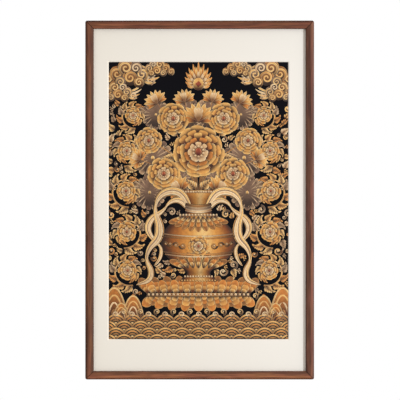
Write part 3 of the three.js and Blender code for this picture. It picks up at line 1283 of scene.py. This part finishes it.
def petal_row(work, up, half, count, length, width, angle, layer, palettes, fan):
    """Petals side by side on a level line, leaning out to both sides, from the outside in."""
    places = np.linspace(-half, half, count)
    for k in np.argsort(-np.abs(places), kind="stable"):
        lean = places[k] / half * fan * (1 if angle == 0 else -1)
        for level, (share, palette) in enumerate(zip((1.0, 0.74, 0.42), palettes)):
            line = bowed((places[k], up), angle + lean, length * share, lean)
            outline = tapered(width * (0.35 + 0.65 * share))
            work.ribbon(line, outline, palette, layer + 0.7 * level, 0.6, 14, glow=(0.2, 1.0))
        layer += 0.12


def bead_row(work, up, half, count, radius, layer, palette):
    for x in np.linspace(-half, half, count):
        bead(work, (x, up), radius, palette, layer)


print("motifs: vase, petal row, bead row")

# %% [markdown]
# The scarf
#
# Silk is tied round the neck of the vase, and its ends fall in long waves on both sides. Each end
# is a band that turns over again and again, so its width swells and shrinks along the path.

# %% Define the scarf
SCARF_ENDS = [
    # points of the path of an end on the right from the neck outwards, half width, turns, start of the turn
    (((22, -16), (44, 22), (78, 26), (104, 8), (112, -28), (98, -62), (100, -96), (126, -120), (134, -152),
      (118, -178), (124, -204), (158, -214)), 13.0, 2.6, 0.1),
    (((20, -22), (46, 4), (74, -2), (88, -26), (120, -44), (132, -72), (116, -98), (92, -120), (98, -150),
      (112, -166)), 10.0, 2.2, 0.35),
]
SCARF_FOLDS = [(1.0, 0.0, BRONZE), (0.74, 0.14, TAUPE), (0.46, -0.3, CREAM), (0.3, 0.5, GOLD)]


def smoothed(points):
    """A flowing line through given points: their polygon with its corners cut four times."""
    line = np.asarray(points, float)
    for _ in range(4):
        cut = np.stack([line[:-1] * 0.75 + line[1:] * 0.25, line[:-1] * 0.25 + line[1:] * 0.75], 1)
        line = np.concatenate([line[:1], cut.reshape(-1, 2), line[-1:]])
    return line


def turning(width, turns, start):
    """The half width of silk that turns over on its way and runs out at its tip."""
    return lambda t: width * (0.22 + 0.78 * np.abs(np.sin(np.pi * (turns * t + start)))) * (1 - t**8)


def narrowed(outline, share):
    return lambda t: share * outline(t)


def scarf(work, layer):
    """The ends on both sides, fold over fold, and the knot round the neck."""
    for side in (-1, 1):
        work.side = side
        for end, (points, width, turns, start) in enumerate(SCARF_ENDS):
            path = smoothed(points)
            step = np.gradient(path, axis=0)
            across = np.stack([-step[:, 1], step[:, 0]], -1) / np.hypot(*step.T)[:, None]
            way = np.linspace(0, 1, len(path))
            open_to = turning(width, turns, start)
            for fold, (share, shift, palette) in enumerate(SCARF_FOLDS):
                line = path + across * (open_to(way) * shift)[:, None]
                spread = narrowed(open_to, share)
                work.ribbon(line, spread, palette, layer + 1.1 * fold - 2 * end, 0.6, 64, glow=(-0.4, 0.1))
    work.side = 1
    for k, palette in enumerate((BRONZE, TAUPE, CREAM)):
        line = curve((-33, -9 - 7 * k), (0, -20 - 7 * k), (33, -9 - 7 * k))
        work.ribbon(line, stalk(4.2, 0), palette, layer + 7 + 0.3 * k, 0.5, 16, glow=None)


print("scarf:", len(SCARF_FOLDS), "folds in each end")

# %% [markdown]
# The composition
#
# The vase stands on a lotus pedestal over the waves, flowers rise from it, scrolling vines climb
# both sides, and clouds with a jewel fill the dark sky. Both halves mirror each other, so tables
# give the right half and a loop works each row twice. Small random changes keep the halves from
# looking printed.

# %% Work the vase
vase_work = Stitching("vase_stitching", 11)
PEDESTAL_ROWS = [
    # up, half width, petals, length, width, angle, layer, threads, fan
    (-234, 128, 10, 44, 16.5, 0, 1, (BRONZE, AMBER, HONEY), 22),
    (-240, 112, 9, 42, 17, 180, 2, (AMBER, HONEY, GOLD), 34),
    (-238, 100, 8, 36, 15, 180, 1, (BRONZE, AMBER, HONEY), 30),
    (-238, 112, 9, 38, 16, 0, 4, (AMBER, HONEY, GOLD), 18),
]
VASE_PETAL_ROWS = [
    (-172, 38, 7, 44, 11.5, 0, 11, (BRONZE, AMBER, GOLD), 42),
    (-40, 42, 9, 40, 10.5, 180, 11, (BRONZE, AMBER, GOLD), 44),
]
VASE_BANDS = [
    # up, half width, threads
    (-84, 91, CREAM),
    (-90, 93, AMBER),
    (-130, 88, AMBER),
    (-136, 85, CREAM),
]
VASE_BEAD_ROWS = [
    # up, half width, beads, radius, layer, threads
    (-37, 46, 13, 3.4, 15, CREAM),
    (-193, 34, 11, 3.0, 13, CREAM),
    (-203, 42, 13, 2.6, 13, HONEY),
    (22, 45, 15, 3.2, 13, CREAM),
]
for row in PEDESTAL_ROWS:
    petal_row(vase_work, *row)
vase_work.ribbon([(-132, -239), (132, -239)], stalk(5.2, 0), BRONZE, 9, 0.4, 30, glow=None)
bead_row(vase_work, -239, 126, 25, 3.8, 10, CREAM)
vase_body(vase_work, 6)
for row in VASE_PETAL_ROWS:
    petal_row(vase_work, *row)
for up, half, palette in VASE_BANDS:
    band = curve((-half, up), (0, up - 14), (half, up))
    vase_work.ribbon(band, stalk(1.8, 0), palette, 14, 0.3, 30, glow=None)
for side in (-1, 1):
    vase_work.side = side
    for k, x in enumerate((40, 57, 72, 83)):
        curl(vase_work, (x, -117 + 0.0012 * x * x), 8.5 - k, 90, (-1) ** k, BRONZE, 14, 26)
vase_work.side = 1
for row in VASE_BEAD_ROWS:
    bead_row(vase_work, *row)
scarf(vase_work, 9)
print("vase:", len(vase_work.boxes), "patches")

# %% [markdown]
# Flowers
#
# One great blossom stands over the vase, with smaller ones, lotus buds and round leaves on both
# sides of it. Stems and leaves go into a stitching of their own for each side, because a mesh of
# them all would be too large.

# %% Work the flowers
flower_work = Stitching("blossom_stitching", 23)
leaf_works = {-1: Stitching("left_leaf_stitching", 37), 1: Stitching("right_leaf_stitching", 38)}
blossom(flower_work, (0, -116), 26, 10, 15, SMALL_RINGS)
blossom(flower_work, (0, 124), 66, 0, 6, GREAT_RINGS)
lotus(flower_work, (0, 200), 0, 50, 4)

BOUQUET = [
    # across, up, radius
    (88, 68, 42),
    (64, 208, 40),
    (126, 152, 34),
]
BOUQUET_LEAVES = [
    # across, up, radius
    (46, 52, 36),
    (116, 108, 52),
    (24, 214, 44),
    (124, 20, 44),
    (108, 218, 38),
]
LOTUS_BUDS = [
    # across, up, angle, length
    (46, 24, 40, 42),
    (104, 246, 30, 36),
    (34, 250, 14, 34),
    (146, 104, 64, 34),
]
SPILLING_LEAVES = [
    # across, up, angle, length, bow
    (30, 26, 62, 46, 60),
    (34, 24, 96, 52, 50),
    (10, 28, 24, 42, 40),
    (60, 106, 70, 40, 40),
    (52, 168, 50, 40, 40),
    (20, 70, 30, 40, -30),
]
for side, leaf_work in leaf_works.items():
    flower_work.side = leaf_work.side = side
    for across, up, radius in BOUQUET_LEAVES:
        lotus_leaf(leaf_work, (across, up), radius, leaf_work.dice.uniform(0, 360), 0)
    for across, up, radius in BOUQUET:
        stem(leaf_work, curve((4, 26), (across * 0.2, up * 0.7), (across, up)), 2.8, 1.5)
        blossom(flower_work, (across, up), radius, flower_work.dice.uniform(0, 40), 5, FULL_RINGS)
    for across, up, angle, length in LOTUS_BUDS:
        stem(leaf_work, curve((2, 26), (across * 0.3, up * 0.6), (across, up)), 2.2, 1.5)
        lotus(flower_work, (across, up), angle, length, 4)
    for across, up, angle, length, bow in SPILLING_LEAVES:
        acanthus(leaf_work, (across, up), angle, length, GOLD, 3, bow)
print("flowers:", len(flower_work.boxes), "patches")

# %% [markdown]
# Vines
#
# Five scrolls climb each side. Each is a stem that winds in to a small blossom, with leaves that
# grow shorter towards its end.

# %% Work the vines
VINES = [
    # across, up, radius, start angle, hand
    (180, -178, 40, 200, -1),
    (182, -80, 42, 170, 1),
    (184, 24, 42, 190, -1),
    (182, 126, 40, 170, 1),
    (166, 216, 34, 190, -1),
]


def vine(leaves, flowers, middle, radius, start, hand):
    """A stem that winds in to a blossom, with curled leaves along both of its sides."""
    line = spiral(middle, radius, 1.05, start, hand, 0.42)
    stem(leaves, line, 2.8, 2, HONEY, 44)
    for k, share in enumerate(np.linspace(0.02, 0.9, 11)):
        spot = line[int(share * (len(line) - 1))]
        out = math.degrees(math.atan2(spot[0] - middle[0], spot[1] - middle[1]))
        palette = (GOLD, HONEY, AMBER, TAUPE)[k % 4]
        acanthus(leaves, spot, out + hand * 40, radius * (0.82 - 0.3 * share), palette, 2.5, hand * 46)
        if share > 0.25:
            acanthus(leaves, spot, out + 180 - hand * 44, radius * 0.36, CREAM, 2.2, -hand * 40, 2)
    blossom(flowers, middle, radius * 0.6, 0, 5, SMALL_RINGS)


for side, leaf_work in leaf_works.items():
    flower_work.side = leaf_work.side = side
    for across, up, radius, start, hand in VINES:
        vine(leaf_work, flower_work, (across, up), radius, start, hand)
print("leaves:", [len(leaf_work.boxes) for leaf_work in leaf_works.values()], "patches")

# %% [markdown]
# Sky and sea
#
# Clouds close the upper corners round the jewel. Below, rows of waves overlap like scales, each
# row over the one above it, with steep peaks at both sides and curls of foam along the top.

# %% Work the sky
sky_work = Stitching("cloud_stitching", 41)
CLOUDS = [
    # across, up, size, side of the tail
    (206, 274, 46, -1),
    (176, 318, 62, -1),
    (104, 334, 40, 1),
]
for side in (-1, 1):
    sky_work.side = side
    for across, up, size, tail in CLOUDS:
        cloud(sky_work, (across, up), size, 3, tail)
sky_work.side = 1
jewel(sky_work, (0, 296), 16, 3)
print("sky:", len(sky_work.boxes), "patches")

# %% Work the sea
WAVE_RADIUS = 27.0
WAVE_STEP = 42.0
FOAM_UP, FOAM_STAGGER, FOAM_RADIUS = -289, 7, 8.5
PEAKS = [
    # across, up, width, height
    (214, -300, 74, 84),
    (166, -300, 62, 62),
    (196, -304, 50, 46),
]
sea_work = Stitching("wave_stitching", 53)
for side in (-1, 1):
    sea_work.side = side
    for k, (across, up, width, height) in enumerate(PEAKS):
        peak(sea_work, (across, up), width, height, 2 + 1.2 * k)
sea_work.side = 1
WAVE_ROWS = [
    # up, threads from the crest inwards
    (-314, (HONEY, AMBER, BRONZE, GOLD)),
    (-331, (HONEY, AMBER, BRONZE, GOLD)),
    (-348, (HONEY, AMBER, BRONZE, GOLD)),
    (-365, (HONEY, BRONZE, INK, INK)),
]
for row, (up, palettes) in enumerate(WAVE_ROWS):
    for k in range(-6, 7):
        across = (k + 0.5 * (row % 2)) * WAVE_STEP
        wave(sea_work, (across, up), WAVE_RADIUS, palettes, 6 + 1.2 * row)
for k in range(-10, 11):
    spot = (k * WAVE_STEP / 2, FOAM_UP + FOAM_STAGGER * (k % 2))
    curl(sea_work, spot, FOAM_RADIUS, 180, 1 if k < 0 else -1, (CREAM, GOLD)[k % 2], 7, 26)
print("sea:", len(sea_work.boxes), "patches")

# %% [markdown]
# Filling the ground
#
# The embroiderer fills what is left with small sprigs, densely among the flowers and hardly at all
# in the sky. A coarse map of what is covered shows where there is room. Seeded random places are
# tried from large sprigs to small ones, and each is marked as it is worked.

# %% Define the map of what is covered
CELL = 1.5
sprig_works = [Stitching("leaf_sprig_stitching", 67), Stitching("curl_sprig_stitching", 68)]
shape = tuple(np.ceil(2 * picture_half / CELL).astype(int) + 1)
covered = np.zeros(shape, bool)


def mark(work, start=0):
    """Marks the cells that a stitching's points lie in, from one array of points on."""
    for points in work.points[start:]:
        cells = np.round((points[:, :2] + picture_half) / CELL).astype(int)
        cells = np.clip(cells, 0, np.array(shape) - 1)
        covered[cells[:, 0], cells[:, 1]] = True


def widened(cells):
    """The marked cells with a margin of one cell round them."""
    grown = cells.copy()
    grown[1:] |= cells[:-1]
    grown[:-1] |= cells[1:]
    grown[:, 1:] |= cells[:, :-1]
    grown[:, :-1] |= cells[:, 1:]
    return grown


for work in (vase_work, flower_work, *leaf_works.values(), sky_work, sea_work):
    mark(work)
covered = widened(covered)
print("covered before the filling:", round(float(covered.mean()), 3))

# %% Fill the ground with sprigs
SPRIGS = [
    # room needed in mm, length, pairs of lobes, tries
    (7.5, 30.0, 4, 3000),
    (4.5, 22.0, 3, 5000),
    (3.0, 15.0, 2, 6000),
]
SKY_FROM, SKY_FADE = 190, 60
SPRIGS_LEAN_FROM, SPRIG_SWING = -140, 120
SPRIG_THREADS = (GOLD, HONEY, TAUPE, AMBER, CREAM)
dice = np.random.default_rng(71)
for room, length, pairs, tries in SPRIGS:
    reach = int(room / CELL)
    for _ in range(tries):
        spot = dice.uniform(-1, 1, 2) * picture_half
        lean, pick, luck = dice.uniform(0, 1, 3)
        i, j = np.round((spot + picture_half) / CELL).astype(int)
        here = covered[max(i - reach, 0):i + reach + 1, max(j - reach, 0):j + reach + 1]
        sky = np.clip((spot[1] - SKY_FROM) / SKY_FADE, 0, 1)
        if here.any() or luck < sky:
            continue
        angle = math.degrees(math.atan2(spot[0], spot[1] - SPRIGS_LEAN_FROM)) + SPRIG_SWING * (lean - 0.5)
        palette = SPRIG_THREADS[int(pick * len(SPRIG_THREADS))]
        work = sprig_works[int(pick * 50) % 2]
        before = len(work.points)
        if work is sprig_works[0]:
            acanthus(work, spot - heading(angle) * length * 0.45, angle, length, palette, 0, 50, pairs)
        else:
            curl(work, spot, length * 0.36, angle, 1 if lean < 0.5 else -1, palette, 0)
        mark(work, before)
print("covered after the filling:", round(float(covered.mean()), 3))

# %% Join the stitching
embroidery = [joined(work) for work in (
    vase_work, flower_work, *leaf_works.values(), sky_work, sea_work, *sprig_works,
)]
print("stitching:", sum(len(piece.data.polygons) for piece in embroidery), "faces in all")

# %% [markdown]
# Backing board
#
# The board that closes the back is plain hardboard. Its solid is right as it is, so it only gets
# a finish: brown pressed fibre, clouded, with dark flecks and the fine mesh of the press.

# %% Finish the backing board
MESH_PITCH = 2.2 * MM


def pressed_fibre(name):
    """Hardboard: clouded brown fibre with flecks, pressed on a fine mesh."""
    material, tree, shader = finish(name, Roughness=0.85, Specular_IOR_Level=0.2)
    place = node(tree, "ShaderNodeTexCoord").outputs["Object"]
    clouds = noise(tree, place, 9.0, 5.0)
    flecks = noise(tree, place, 240.0, 3.0)
    body = ramp(tree, clouds, [(0.3, colour(140, 106, 72)), (0.7, colour(163, 128, 91))])
    fleck_mask = ramp(tree, flecks, [(0.56, (0, 0, 0, 1)), (0.68, (1, 1, 1, 1))])
    flecked = blend(tree, sum_of(tree, "MULTIPLY", fleck_mask, 0.5), body, colour(88, 62, 40))
    tree.links.new(flecked, shader.inputs["Base Color"])
    waves = [
        node(
            tree, "ShaderNodeTexWave",
            {"Vector": place, "Scale": 2 * math.pi / 20 / MESH_PITCH, "Distortion": 0.4, "Detail": 1.0},
            wave_type="BANDS", bands_direction=axis,
        ).outputs["Fac"]
        for axis in "XZ"
    ]
    height = sum_of(tree, "ADD", sum_of(tree, "MULTIPLY", *waves), sum_of(tree, "MULTIPLY", flecks, 0.8))
    raised(tree, shader, height, 0.6, 0.25 * MM)
    return material


hardboard = pressed_fibre("hardboard")
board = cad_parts["backing_board"]
board.data.materials.clear()
board.data.materials.append(hardboard)
print("backing board:", len(board.data.polygons), "faces")

# %% [markdown]
# Stage
#
# A pale floor lies well below the panel, which hangs on a wall. It keeps clear of the front view,
# and no light bounces off it, so that the mat is lit by the lamp and the surroundings alone.

# %% Lay the floor
FLOOR_DROP = 1.1
FLOOR_RADIUS = 5.0
FLOOR_SEGMENTS = 96
FLOOR_TONES = colour(238, 236, 232), colour(232, 230, 226)
floor_material, floor_tree, floor_shader = finish("floor", Roughness=0.85)
floor_place = node(floor_tree, "ShaderNodeTexCoord").outputs["Object"]
floor_clouds = noise(floor_tree, floor_place, 3.0, 2.0)
floor_tone = blend(floor_tree, floor_clouds, *FLOOR_TONES)
floor_tree.links.new(floor_tone, floor_shader.inputs["Base Color"])
bm = bmesh.new()
bmesh.ops.create_circle(bm, cap_ends=True, segments=FLOOR_SEGMENTS, radius=FLOOR_RADIUS)
bmesh.ops.translate(bm, vec=(0, 0, panel_low.z - FLOOR_DROP), verts=bm.verts[:])
floor_mesh = bpy.data.meshes.new("floor")
bm.to_mesh(floor_mesh)
bm.free()
floor_mesh.materials.append(floor_material)
floor = bpy.data.objects.new("floor", floor_mesh)
floor.visible_diffuse = False
floor.visible_glossy = False
bpy.context.scene.collection.objects.link(floor)
print("floor", FLOOR_DROP, "m below the panel")
